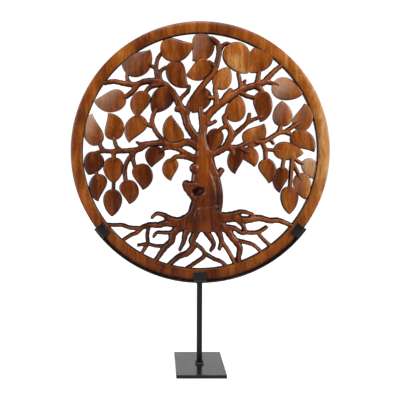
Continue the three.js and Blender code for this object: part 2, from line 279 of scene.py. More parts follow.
# ---------------------------------------------------------------- cradle band
# Flat bar rolled to the disc's edge, and welded at its middle on top of the post. Its section
# is a rectangle with eased corners, and it shows in front of the wood and behind it.

disc_low, disc_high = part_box("carved_disc")
disc_middle = (disc_low + disc_high) / 2
disc_radius = (disc_high.x - disc_low.x) / 2
band_low, band_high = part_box("cradle_band")
band_outer = disc_middle.z - band_low.z
band_thickness = 0.002
band_corner = 0.0005
band_inner = band_outer - band_thickness
band_half_angle = math.asin(min(1, band_high.x / band_outer))

bpy.ops.object.select_all(action="DESELECT")
band_middle = disc_middle + Vector((0, 0, -(band_inner + band_outer) / 2))
bpy.ops.mesh.primitive_plane_add(size=1, location=band_middle, rotation=(0, math.pi / 2, 0))
bpy.context.object.scale = (band_thickness, band_high.y - band_low.y, 1)
band = take_up("band")
bpy.ops.object.mode_set(mode="EDIT")
bpy.ops.mesh.bevel(offset=band_corner, segments=4, affect="VERTICES")
bpy.ops.object.mode_set(mode="OBJECT")
for vertex in band.data.vertices:
    turn = vertex.co - disc_middle
    vertex.co = disc_middle + Matrix.Rotation(band_half_angle, 3, "Y") @ turn
bpy.ops.object.mode_set(mode="EDIT")
bpy.ops.mesh.spin(steps=120, angle=2 * band_half_angle, center=disc_middle, axis=(0, 1, 0))
bpy.ops.mesh.select_all(action="SELECT")
bpy.ops.mesh.normals_make_consistent(inside=False)
bpy.ops.object.mode_set(mode="OBJECT")
bpy.ops.object.shade_smooth_by_angle(angle=math.radians(50))
fit(band, "stand", bar_iron, "black_iron", "cradle_band")

# ---------------------------------------------------------------- clip tabs
# Six short flats with rounded corners stand on the band in pairs, one in front of the rim
# and one behind it, and stop the disc from tipping out. Each has a bead along its foot.

tab_radius = 0.0016
tab_edge = 0.0005
tab_bead = 0.0011
tab_turns = {"left": 1, "bottom": 0, "right": -1}


def flat_tab(name, turn, low, high):
    """A flat with rounded corners between two corners below the disc, swung round by a turn."""
    bpy.ops.object.select_all(action="DESELECT")
    bpy.ops.mesh.primitive_cube_add(size=1, location=(low + high) / 2, scale=high - low)
    tab = take_up(name)
    bpy.ops.object.mode_set(mode="EDIT")
    bpy.ops.mesh.select_mode(type="EDGE")
    bpy.ops.mesh.select_all(action="DESELECT")
    bpy.ops.object.mode_set(mode="OBJECT")
    for edge in tab.data.edges:
        start, end = (tab.data.vertices[index].co for index in edge.vertices)
        edge.select = abs((end - start).normalized().y) > 0.9
    bpy.ops.object.mode_set(mode="EDIT")
    bpy.ops.mesh.bevel(offset=tab_radius, segments=5, affect="EDGES")
    bpy.ops.mesh.select_all(action="DESELECT")
    bpy.ops.object.mode_set(mode="OBJECT")
    for edge in tab.data.edges:
        start, end = (tab.data.vertices[index].co for index in edge.vertices)
        edge.select = abs((end - start).normalized().y) < 0.1
    bpy.ops.object.mode_set(mode="EDIT")
    bpy.ops.mesh.bevel(offset=tab_edge, segments=3, affect="EDGES")
    bpy.ops.object.mode_set(mode="OBJECT")
    swing = Matrix.Rotation(turn, 3, "Y")
    for vertex in tab.data.vertices:
        vertex.co = disc_middle + swing @ (vertex.co - disc_middle)
    bpy.ops.object.shade_smooth_by_angle(angle=math.radians(40))
    return tab


bottom_low, bottom_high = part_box("clip_bottom_front")
tab_half = bottom_high.x
tab_foot = band_inner - 0.0003
tab_half_angle = math.atan(tab_half / tab_foot)
for side, way in tab_turns.items():
    turn = way * (band_half_angle - tab_half_angle)
    for face in ("front", "back"):
        node = f"clip_{side}_{face}"
        tab_low, tab_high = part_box(node)
        low = Vector((-tab_half, tab_low.y, bottom_low.z))
        high = Vector((tab_half, tab_high.y, bottom_high.z))
        tab = flat_tab(f"tab_{side}_{face}", turn, low, high)
        fit(tab, "stand", bar_iron, "black_iron", node)
        depth = tab_low.y - 0.0002 if face == "front" else tab_high.y + 0.0002
        route = []
        for step in range(9):
            angle = turn + tab_half_angle * (step / 4 - 1) * 0.9
            route.append(disc_middle + Vector((-math.sin(angle), 0, -math.cos(angle))) * (tab_foot - 0.0002))
            route[-1].y = depth
        bead = weld_bead(f"bead_{side}_{face}", route, tab_bead, 1.0)
        fit(bead, "stand", weld_iron, "painted_weld", f"{node}_weld")

# ---------------------------------------------------------------- the disc's rim
# The rim is left standing when the board is sawn out. Its faces are slightly crowned by
# sanding, its corners softened, and it is oiled and waxed with the rest of the carving.

rim_width = 0.018
rim_crown = 0.0014
rim_corner = 0.0017
# How strongly the dark stain and painted shade show on the rim's inner half and on its outer half.
inner_stain_and_shade, outer_stain_and_shade = 1.0, 0.35


def wood_group():
    """Open-pored hardwood, its fibres along Z, with dark stain and painted shade on walls, in hollows and in
    grooves, painted highlights on convex edges, and a painted sheen on the far right.
    """
    group, given, result = node_group(
        "oiled_wood",
        [("Pale", "NodeSocketColor", (0.47, 0.135, 0.016, 1)),
         ("Middle", "NodeSocketColor", (0.25, 0.056, 0.006, 1)),
         ("Dark", "NodeSocketColor", (0.085, 0.015, 0.003, 1)), ("Tone", "NodeSocketFloat", 0.5),
         ("Stain and shade", "NodeSocketFloat", 1.0), ("Shift", "NodeSocketFloat", 0.0)],
        [("Colour", "NodeSocketColor"), ("Roughness", "NodeSocketFloat"), ("Wax", "NodeSocketFloat"),
         ("Height", "NodeSocketFloat")],
    )
    place = add_node(group, "ShaderNodeTexCoord").outputs["Object"]
    sway = add_node(group, "ShaderNodeTexNoise", [("Vector", place), ("Scale", 14.0), ("Detail", 2.0)])
    links = [("X", given.outputs["Shift"]), ("Y", given.outputs["Shift"])]
    shift = add_node(group, "ShaderNodeCombineXYZ", links)
    swayed = add_node(group, "ShaderNodeVectorMath", [(0, sway.outputs["Color"]), (1, (0.03, 0.03, 0.0))],
                      operation="MULTIPLY")
    bent = place
    for move in (swayed, shift):
        links = [(0, bent), (1, move.outputs[0])]
        bent = add_node(group, "ShaderNodeVectorMath", links, operation="ADD").outputs[0]

    def stretched(across, along, detail, roughness=0.5):
        links = [("Vector", bent), ("Scale", (across, across, along))]
        drawn = add_node(group, "ShaderNodeMapping", links)
        links = [("Vector", drawn.outputs[0]), ("Scale", 1.0), ("Detail", detail), ("Roughness", roughness)]
        return add_node(group, "ShaderNodeTexNoise", links).outputs["Fac"]

    figure = stretched(34.0, 6.0, 3.0)
    rings = stretched(170.0, 7.0, 2.0)
    fibres = stretched(900.0, 40.0, 3.0, 0.6)
    pores = stretched(1500.0, 95.0, 1.0)
    clouds = add_node(group, "ShaderNodeTexNoise", [("Vector", place), ("Scale", 28.0), ("Detail", 2.0)])

    depth = arithmetic(group, "MULTIPLY", figure, 0.9)
    depth = arithmetic(group, "ADD", depth, arithmetic(group, "MULTIPLY", rings, 0.55))
    depth = arithmetic(group, "ADD", depth, arithmetic(group, "MULTIPLY", fibres, 0.35))
    depth = arithmetic(group, "ADD", depth, arithmetic(group, "MULTIPLY", clouds.outputs["Fac"], 0.4))
    depth = between(group, depth, 0.85, 1.35)
    depth = arithmetic(group, "ADD", depth, arithmetic(group, "SUBTRACT", given.outputs["Tone"], 0.5))
    spot = add_node(group, "ShaderNodeSeparateXYZ", [(0, place)])
    # The wood is made lighter towards the right and darker towards the bottom of the disc.
    lighter_to_right = between(group, spot.outputs["X"], -0.20, 0.20, -0.08, 0.16)
    darker_to_bottom = between(group, spot.outputs["Z"], 0.14, 0.30, -0.24, 0.02)
    depth = arithmetic(group, "ADD", depth, lighter_to_right)
    # Painted sheen: the far right of the disc, where the rim catches a reflection of the lights, is made
    # much paler.
    painted_sheen_right = between(group, spot.outputs["X"], 0.12, 0.20, 0.0, 0.50)
    depth = arithmetic(group, "ADD", depth, arithmetic(group, "ADD", darker_to_bottom, painted_sheen_right))
    low = blend(group, between(group, depth, 0.0, 0.5), given.outputs["Dark"], given.outputs["Middle"])
    colour = blend(group, between(group, depth, 0.5, 1.0), low, given.outputs["Pale"])
    # The palest colour, reached mostly where the painted sheen on the right lifts the tone.
    colour = blend(group, between(group, depth, 0.95, 1.5), colour, (0.74, 0.40, 0.15))
    pore = between(group, pores, 0.60, 0.68)
    colour = blend(group, arithmetic(group, "MULTIPLY", pore, 0.55), colour, given.outputs["Dark"])

    normal = add_node(group, "ShaderNodeNewGeometry").outputs["Normal"]
    across = add_node(group, "ShaderNodeSeparateXYZ", [(0, normal)]).outputs["Y"]
    facing = arithmetic(group, "ABSOLUTE", across)
    # Dark stain and painted shade: walls and flanks turned away from the front are darkened.
    wall = between(group, facing, 0.95, 0.50)
    sawn = between(group, facing, 0.62, 0.25)
    # Painted shade: hollows, creases and gaps between overlapping parts are darkened by ambient occlusion,
    # and concave grooves by pointiness.
    hollow = add_node(group, "ShaderNodeAmbientOcclusion", [("Distance", 0.009)], samples=8).outputs["AO"]
    crease = between(group, hollow, 0.92, 0.45)
    bend = add_node(group, "ShaderNodeNewGeometry").outputs["Pointiness"]
    groove = between(group, bend, 0.485, 0.43)
    # Convex edges are made paler: partly rubbed wear, partly a painted highlight along the ridges.
    rubbed_and_highlight = between(group, bend, 0.53, 0.60)
    colour = blend(group, arithmetic(group, "MULTIPLY", rubbed_and_highlight, 0.35), colour, given.outputs["Pale"])
    crease = arithmetic(group, "MAXIMUM", crease, groove)
    stain_and_shade = arithmetic(group, "MAXIMUM", wall, crease)
    stain_and_shade = arithmetic(group, "MULTIPLY", stain_and_shade, given.outputs["Stain and shade"])
    # Where the stain and painted shade mask is full, the wood goes near black.
    colour = blend(group, stain_and_shade, colour, (0.012, 0.0034, 0.0014))

    rough = between(group, fibres, 0.3, 0.7, 0.22, 0.34)
    dull = arithmetic(group, "MAXIMUM", sawn, crease)
    rough = arithmetic(group, "ADD", rough, arithmetic(group, "MULTIPLY", dull, 0.45))
    wax = between(group, dull, 0.0, 0.8, 0.26, 0.0)
    height = arithmetic(group, "SUBTRACT", arithmetic(group, "MULTIPLY", fibres, 0.6), pore)
    group.links.new(colour, result.inputs["Colour"])
    group.links.new(rough, result.inputs["Roughness"])
    group.links.new(wax, result.inputs["Wax"])
    group.links.new(height, result.inputs["Height"])
    return group


oiled_wood = wood_group()


def waxed_wood(name, tone, **colours):
    """Oiled hardwood under a thin coat of wax."""
    material, tree, shader = new_material(name, Coat_Roughness=0.14, Specular_IOR_Level=0.26)
    grain = add_node(tree, "ShaderNodeGroup", node_tree=oiled_wood)
    for label, colour in colours.items():
        grain.inputs[label].default_value = (*colour, 1)
    grain.inputs["Tone"].default_value = tone
    tree.links.new(grain.outputs["Colour"], shader.inputs["Base Color"])
    tree.links.new(grain.outputs["Roughness"], shader.inputs["Roughness"])
    tree.links.new(grain.outputs["Wax"], shader.inputs["Coat Weight"])
    links = [("Height", grain.outputs["Height"]), ("Strength", 0.35), ("Distance", 0.0002)]
    bump = add_node(tree, "ShaderNodeBump", links)
    tree.links.new(bump.outputs["Normal"], shader.inputs["Normal"])
    return material, grain


bpy.ops.object.select_all(action="DESELECT")
rim_middle = disc_radius - rim_width / 2
board_half = disc_high.y
bpy.ops.mesh.primitive_plane_add(size=1, location=disc_middle + Vector((rim_middle, 0, 0)))
bpy.context.object.scale = (rim_width, 2 * board_half, 1)
rim = take_up("rim")
bpy.ops.object.mode_set(mode="EDIT")
bpy.ops.mesh.bevel(offset=rim_corner, segments=6, affect="VERTICES")
bpy.ops.mesh.select_all(action="SELECT")
bpy.ops.mesh.delete(type="ONLY_FACE")
bpy.ops.mesh.select_mode(type="EDGE")
bpy.ops.mesh.select_all(action="DESELECT")
bpy.ops.object.mode_set(mode="OBJECT")
for edge in rim.data.edges:
    start, end = (rim.data.vertices[index].co for index in edge.vertices)
    edge.select = (end - start).length > 0.5 * rim_width
bpy.ops.object.mode_set(mode="EDIT")
bpy.ops.mesh.subdivide(number_cuts=9)
bpy.ops.object.mode_set(mode="OBJECT")
for vertex in rim.data.vertices:
    share = (vertex.co.x - rim_middle) / (rim_width / 2)
    vertex.co.y *= 1 - rim_crown / board_half * share * share
bpy.ops.object.mode_set(mode="EDIT")
bpy.ops.mesh.select_all(action="SELECT")
bpy.ops.mesh.spin(steps=360, angle=2 * math.pi, center=disc_middle, axis=(0, 1, 0))
bpy.ops.mesh.select_all(action="SELECT")
bpy.ops.mesh.remove_doubles(threshold=0.00001)
bpy.ops.mesh.normals_make_consistent(inside=False)
bpy.ops.object.mode_set(mode="OBJECT")
bpy.ops.object.shade_smooth_by_angle(angle=math.radians(60))
# The inner half of the rim takes the full dark stain and painted shade, the outer half less.
stain_and_shade_amounts = []
for vertex in rim.data.vertices:
    spot = vertex.co - disc_middle
    stain_and_shade_amounts.append(inner_stain_and_shade if math.hypot(spot.x, spot.z) < rim_middle else outer_stain_and_shade)
rim.data.attributes.new("rim_stain_and_shade", "FLOAT", "POINT").data.foreach_set("value", stain_and_shade_amounts)
rim_wood, rim_grain = waxed_wood("rim_wood", tone=0.55)
rim_stain_and_shade = add_node(rim_wood.node_tree, "ShaderNodeAttribute", attribute_name="rim_stain_and_shade").outputs["Fac"]
rim_wood.node_tree.links.new(rim_stain_and_shade, rim_grain.inputs["Stain and shade"])
fit(rim, "disc", rim_wood, "carved_wood", "carved_disc")

# ---------------------------------------------------------------- trunk, limbs and roots
# The tree is sawn out inside the rim and carved half round at the front, its back left as
# the board's face. The trunk has long twisting ridges, two knots, a hollow and a fold.

layout = (rim_middle - rim_width / 2) / 0.182
board_back = 0.005
carving_step = 0.002
trunk_front = 0.0072

# x, z and width from the disc's middle, in millimetres
trunk_run = (
    (7, -124, 70), (7, -110, 64), (7, -99, 57), (7, -89, 48), (10, -75, 45), (10, -61, 47), (8, -45, 44),
    (7, -27, 38), (6, -10, 32), (5, 4, 23), (4, 16, 17), (4, 30, 14), (8, 50, 11),
)

# width at the start, width at the end, then the points of each limb and twig
limb_runs = (
    # left stem, from the trunk to the rim
    (13, 9, ((3, 12), (-9, 26), (-19, 41), (-24, 58), (-34, 77), (-43, 93), (-55, 104))),
    (10, 6, ((-50, 101), (-66, 109), (-85, 109), (-100, 104), (-118, 106), (-134, 109), (-150, 106))),
    (8, 7, ((-96, 105), (-105, 93), (-117, 84))),
    (7, 6, ((-60, 104), (-73, 102), (-81, 97), (-86, 89))),
    (7, 5, ((-61, 106), (-67, 118), (-68, 131), (-65, 145), (-56, 156))),
    (5, 5, ((-68, 130), (-74, 132), (-80, 136))),
    (5, 5, ((-57, 105), (-62, 116), (-60, 126), (-50, 132))),
    (5, 5, ((-108, 106), (-113, 114), (-112, 122))),
    (6, 6, ((-34, 76), (-27, 86), (-19, 94), (-17, 104))),
    (9, 8, ((-28, 65), (-40, 67))),
    # middle stem, leaving the left one and climbing to the top leaves
    (10, 7, ((-22, 58), (-14, 77), (-3, 94), (9, 109), (21, 123), (27, 142), (29, 156), (26, 168),
             (14, 176))),
    (6, 5, ((29, 152), (33, 161), (40, 167), (52, 162))),
    (7, 6, ((24, 131), (11, 140))),
    # twig under the middle leaf
    (8, 8, ((0, 70), (2, 52), (3, 40), (1, 24))),
    (6, 5, ((8, 41), (17, 44), (26, 49))),
    # left limb, with its two roots on the trunk
    (9, 6, ((-4, -14), (-16, -9), (-27, -7), (-38, -8), (-46, -15))),
    (8, 5, ((-8, -9), (-20, -3), (-33, 4), (-47, 7), (-58, 4), (-68, -2))),
    (12, 8, ((-2, 6), (-12, 13), (-23, 15), (-33, 11), (-45, 11), (-58, 14), (-74, 13), (-92, 11))),
    (6, 3, ((-90, 11), (-100, 16))),
    (9, 5, ((-84, 11), (-96, 4), (-112, 2), (-135, 1), (-152, 1), (-166, -3))),
    (6, 6, ((-148, 1), (-154, 8), (-157, 18))),
    (6, 5, ((-122, 2), (-130, 9), (-134, 24))),
    (7, 6, ((-134, 1), (-134, -14))),
    (7, 6, ((-96, 5), (-107, -6), (-114, -17), (-117, -30), (-115, -48))),
    (6, 6, ((-103, 0), (-104, -12), (-100, -26))),
    (7, 6, ((-51, 13), (-66, 28), (-74, 44), (-73, 56), (-67, 68))),
    (7, 6, ((-72, 40), (-80, 42), (-90, 46))),
    # short stalks of the lowest leaves on the left
    (5, 5, ((-162, -30), (-158, -44))),
    (5, 5, ((-134, -42), (-135, -64))),
    # right stem, from the crotch to the rim
    (13, 9, ((8, 44), (11, 55), (23, 68), (36, 78), (50, 88), (66, 97), (88, 104), (103, 109))),
    (9, 6, ((98, 107), (107, 117), (117, 127), (129, 136))),
    (8, 6, ((33, 76), (40, 88), (49, 98))),
    (8, 6, ((24, 68), (25, 85), (23, 97), (25, 108))),
    (6, 6, ((24, 84), (11, 84))),
    (6, 5, ((62, 94), (62, 106), (58, 124))),
    (5, 4, ((64, 97), (70, 112))),
    (7, 6, ((86, 103), (89, 113), (91, 126))),
    (6, 5, ((101, 108), (112, 106), (122, 102))),
    (8, 7, ((84, 102), (93, 97), (98, 86))),
    (6, 6, ((62, 92), (71, 87), (86, 83))),
    # right limb
    (14, 9, ((6, -12), (18, -3), (30, 2), (40, 9), (46, 22))),
    (9, 7, ((45, 18), (48, 31), (41, 43), (38, 54), (46, 62))),
    (6, 5, ((43, 40), (34, 37), (26, 30))),
    (8, 5, ((46, 16), (52, 26), (62, 35), (73, 46), (77, 61))),
    (6, 5, ((71, 44), (82, 50), (90, 53), (98, 56))),
    (9, 7, ((36, 6), (48, 7), (61, 8), (78, 18))),
    (7, 7, ((56, 7), (66, 4), (76, -2))),
    (9, 7, ((44, 8), (50, 3), (52, -6))),
    # right spray beyond the leaf that hides its stem
    (7, 6, ((84, 16), (98, 16), (108, 21), (121, 29), (133, 32), (143, 39), (154, 46))),
    (6, 5, ((120, 28), (124, 36), (126, 48))),
    (6, 5, ((131, 31), (141, 27), (152, 22))),
    (6, 3, ((106, 20), (111, 17), (115, 11))),
    (6, 6, ((96, 15), (101, 4), (102, -8), (103, -20))),
    (5, 5, ((100, 4), (112, 3), (124, 1))),
    (5, 5, ((131, -8), (129, -20), (128, -32))),
    (6, 5, ((144, -6), (142, -28), (140, -62))),
    (5, 5, ((145, -18), (152, -32), (158, -44))),
    (5, 5, ((144, -6), (153, -15), (166, -21))),
    # stubs low on the trunk
    (19, 11, ((-2, -58), (-15, -53), (-27, -48))),
    (13, 12, ((-21, -53), (-14, -63), (-6, -74))),
    (12, 8, ((20, -50), (27, -37), (36, -25))),
)

root_runs = (
    (18, 7, ((-6, -98), (-22, -105), (-34, -108), (-47, -104), (-57, -97))),
    (7, 4, ((-54, -99), (-67, -96), (-76, -104))),
    (14, 6, ((-12, -108), (-34, -112), (-53, -111), (-64, -114), (-80, -114), (-95, -120))),
    (6, 5, ((-92, -119), (-109, -118), (-121, -114), (-134, -114), (-150, -113))),
    (6, 5, ((-90, -118), (-98, -126), (-108, -130), (-126, -142))),
    (6, 5, ((-79, -113), (-82, -130), (-82, -144), (-96, -166))),
    (4, 5, ((-98, -146), (-82, -144), (-67, -147), (-50, -146))),
    (14, 6, ((-14, -112), (-31, -118), (-42, -128), (-44, -139), (-54, -149), (-73, -176))),
    (6, 4, ((-40, -126), (-56, -126), (-67, -126), (-73, -134))),
    (12, 4, ((-14, -116), (-22, -127), (-25, -140), (-32, -155))),
    (12, 6, ((-2, -118), (-7, -128), (-12, -139), (-10, -147), (-19, -158), (-33, -164), (-54, -182))),
    (6, 5, ((-10, -142), (-2, -147), (6, -155), (7, -163), (-3, -171), (-26, -186))),
    (6, 5, ((7, -158), (22, -167), (34, -172), (48, -184))),
    (12, 4, ((6, -118), (13, -128), (20, -139), (22, -146), (16, -156))),
    (12, 4, ((20, -114), (29, -125), (34, -139), (30, -154))),
    (6, 6, ((33, -136), (38, -145), (45, -155), (58, -180))),
    (14, 6, ((20, -108), (40, -119), (50, -132), (58, -142), (63, -151), (61, -166), (64, -180))),
    (6, 5, ((53, -137), (71, -141), (85, -146), (100, -160))),
    (8, 6, ((38, -117), (54, -119), (65, -126), (74, -125))),
    (12, 4, ((18, -94), (36, -99), (51, -97), (66, -93), (85, -98))),
    (14, 6, ((16, -100), (36, -104), (55, -103), (71, -106), (92, -103), (109, -107), (124, -107),
             (148, -117))),
    (7, 5, ((54, -103), (67, -114), (73, -125), (91, -125), (106, -116))),
    (5, 6, ((89, -124), (99, -136), (116, -152))),
)

# ridges worked into the trunk: width, depth of the front, then its points
ridge_runs = (
    (9, 7.8, ((26, -106), (31, -90), (32, -73), (30, -54), (24, -32), (14, -9), (-2, 8), (-17, 16))),
    (11, 8.3, ((17, -110), (21, -92), (22, -71), (19, -51), (12, -32), (3, -15), (-9, -3))),
    (15, 8.6, ((5, -114), (7, -94), (10, -73), (7, -54), (2, -39), (-2, -26))),
    (12, 7.8, ((-9, -112), (-6, -98), (-2, -86), (0, -76))),
    (10, 7.2, ((-27, -105), (-15, -96), (-10, -85), (-8, -73))),
    (12, 7.5, ((11, -14), (7, 3), (5, 18), (4, 34))),
    (9, 7.6, ((14, -12), (20, -3), (30, 2))),
    (9, 8.2, ((2, -52), (-8, -50), (-18, -50), (-26, -49))),
    (8, 7.4, ((20, -46), (27, -37), (34, -27))),
)
ridge_foot = 0.003

# x, z and radius of the knots, x and z of the hollow, and x, z and reach of the fold, in
# millimetres. The hollow's and the fold's own sizes are in metres.
knot_places = ((-9.4, -25, 7.6), (-18.5, 17, 4.6))
hollow_place = (-3.0, -61)
hollow_half_width, hollow_half_height, hollow_depth = 0.0082, 0.0056, 0.0075
fold_place = (10, -86, 22)
fold_half_width, fold_depth, fold_lip, fold_slope = 0.0022, 0.0011, 0.0007, 0.13
knot_groove = 0.0004


def smooth_line(points, spacing):
    """Points evenly spaced along a smooth line through the given ones."""
    knots = [Vector(point) for point in points]
    line = []
    for number in range(len(knots) - 1):
        before = knots[max(number - 1, 0)]
        start, end = knots[number], knots[number + 1]
        after = knots[min(number + 2, len(knots) - 1)]
        parts = max(2, round((end - start).length / spacing))
        for part in range(parts):
            t = part / parts
            pull_in, pull_out = (end - before) / 2, (after - start) / 2
            line.append((2 * t**3 - 3 * t**2 + 1) * start + (t**3 - 2 * t**2 + t) * pull_in
                        + (3 * t**2 - 2 * t**3) * end + (t**3 - t**2) * pull_out)
    line.append(knots[-1])
    return line


def carve(name, line, widths, front, back, roundness=0.95, sides=14):
    """A half-round bar along a line in the board: a round front, upright walls and a flat back."""
    vertices, faces = [], []
    shape = []
    for number in range(sides + 1):
        angle = math.pi * number / sides
        across = math.copysign(abs(math.cos(angle)) ** roundness, math.cos(angle))
        shape.append((across, math.sin(angle) ** roundness))
    for number, centre in enumerate(line):
        ahead = line[min(number + 1, len(line) - 1)]
        behind = line[max(number - 1, 0)]
        way = (ahead - behind).normalized()
        half = widths[number] / 2
        crest = front[number]
        shoulder = min(0.0015, back - 0.001)
        ring = [(across * half, -crest * rise + shoulder * (1 - rise)) for across, rise in shape]
        ring += [(-half * 0.98, back - 0.0006), (-half * 0.90, back)]
        ring += [(half * 0.90, back), (half * 0.98, back - 0.0006)]
        for across, depth in ring:
            vertices.append(Vector((centre.x + way.y * across, depth, centre.y - way.x * across)))
    count = sides + 5
    for step in range(len(line) - 1):
        for corner in range(count):
            after = (corner + 1) % count
            start = step * count
            faces.append((start + corner, start + after, start + count + after, start + count + corner))
    faces.append(tuple(reversed(range(count))))
    faces.append(tuple(range((len(line) - 1) * count, len(line) * count)))
    mesh = bpy.data.meshes.new(name)
    mesh.from_pydata([disc_middle + vertex for vertex in vertices], [], faces)
    piece = bpy.data.objects.new(name, mesh)
    bpy.context.scene.collection.objects.link(piece)
    return piece


def scaled(points):
    """Millimetres of the layout in metres, following the rim's size."""
    return [tuple(value * layout / 1000 for value in point) for point in points]


def carve_run(name, start_width, end_width, points, extra=1.0):
    """A limb, twig or root, tapering evenly, prouder where it is thicker."""
    line = smooth_line(scaled(points), carving_step)
    widths, fronts = [], []
    for number in range(len(line)):
        share = number / (len(line) - 1)
        ending = min(1, (len(line) - 1 - number) * carving_step / (0.0006 * end_width) + 0.08)
        width = (start_width + (end_width - start_width) * share + 1.1) * layout / 1000
        wobble = 1 + 0.05 * math.sin(17 * share * len(line) / 12 + start_width + points[0][0])
        widths.append(width * wobble * math.sqrt(1 - (1 - ending) ** 2))
        fronts.append(min(0.0062, extra * (0.0024 + 0.30 * width)))
    return carve(name, line, widths, fronts, board_back)


tree_voxel = 0.00085
tree_triangles = 190000
carvings = []
line = smooth_line(scaled(trunk_run), carving_step)
widths = [point.z for point in line]
line = [point.xy for point in line]
fronts = [min(trunk_front, 0.0035 + 0.13 * width) for width in widths]
carvings.append(carve("trunk", line, widths, fronts, board_back, 0.85, 24))
for number, (start_width, end_width, points) in enumerate(limb_runs):
    carvings.append(carve_run(f"limb_{number}", start_width, end_width, points))
for number, (start_width, end_width, points) in enumerate(root_runs):
    carvings.append(carve_run(f"root_{number}", start_width, end_width, points, 1.1))
for number, (width, front, points) in enumerate(ridge_runs):
    line = smooth_line(scaled(points), 0.003)
    count = len(line)
    from_end = [(2 * min(step, count - 1 - step) + 1) / (0.7 * count) for step in range(count)]
    ends = [math.sin(math.pi * min(1, share) / 2) for share in from_end]
    widths = [width * layout / 1000 * (0.4 + 0.6 * end) for end in ends]
    fronts = [ridge_foot + (front / 1000 - ridge_foot) * end for end in ends]
    carvings.append(carve(f"ridge_{number}", line, widths, fronts, 0.002))

for knot_x, knot_z, knot_radius in scaled(knot_places):
    bpy.ops.object.select_all(action="DESELECT")
    bpy.ops.mesh.primitive_uv_sphere_add(segments=24, ring_count=16, radius=knot_radius,
                                         location=disc_middle + Vector((knot_x, -0.0035, knot_z)))
    bpy.context.object.scale = (1, 0.75, 1.05)
    carvings.append(take_up("knot"))
only(*carvings)
bpy.context.view_layer.objects.active = carvings[0]
bpy.ops.object.join()
tree = bpy.context.object
tree.name = tree.data.name = "tree"
bpy.ops.object.mode_set(mode="EDIT")
bpy.ops.mesh.select_all(action="SELECT")
bpy.ops.mesh.normals_make_consistent(inside=False)
bpy.ops.object.mode_set(mode="OBJECT")
bpy.ops.object.modifier_add(type="REMESH")
tree.modifiers["Remesh"].mode = "VOXEL"
tree.modifiers["Remesh"].voxel_size = tree_voxel
bpy.ops.object.modifier_apply(modifier="Remesh")
bpy.ops.object.modifier_add(type="SMOOTH")
tree.modifiers["Smooth"].iterations = 6
bpy.ops.object.modifier_apply(modifier="Smooth")
knot_x, knot_z, knot_radius = scaled(knot_places)[0]
hollow_x, hollow_z = (value * layout / 1000 for value in hollow_place)
fold_x, fold_z, fold_reach = (value * layout / 1000 for value in fold_place)
for vertex in tree.data.vertices:
    spot = vertex.co - disc_middle
    if spot.y < 0:
        across = (spot.x - hollow_x) / hollow_half_width
        upright = (spot.z - hollow_z - 0.2 * (spot.x - hollow_x)) / hollow_half_height
        vertex.co.y += hollow_depth * math.exp(-(across**2 + upright**2) ** 1.5)
        ring = math.hypot(spot.x - knot_x, spot.z - knot_z) / knot_radius
        vertex.co.y += knot_groove * math.exp(-((ring - 1.2) / 0.2) ** 2)
        fold = (spot.z - fold_z - fold_slope * (spot.x - knot_x)) / fold_half_width
        window = math.exp(-(((spot.x - fold_x) / fold_reach) ** 4))
        dip = fold_depth * math.exp(-(fold**2)) - fold_lip * math.exp(-((fold + 2) ** 2))
        vertex.co.y += window * dip
bpy.ops.object.modifier_add(type="DECIMATE")
tree.modifiers["Decimate"].ratio = min(1, tree_triangles / (2 * len(tree.data.polygons)))
bpy.ops.object.modifier_apply(modifier="Decimate")
bpy.ops.object.shade_smooth()
tree_wood, _ = waxed_wood("tree_wood", tone=0.38, Middle=(0.29, 0.056, 0.005))
fit(tree, "disc", tree_wood, "carved_wood", "carved_disc")

# ---------------------------------------------------------------- leaves
# Forty broad leaves are carved in the solid with the tree, domed, hollowed on one side of the
# tip and tilted, so that each takes the light by itself. Some lie over their neighbours. The pale
# and rosy ones carry a painted sheen, and each is painted lighter on one side of its midrib.

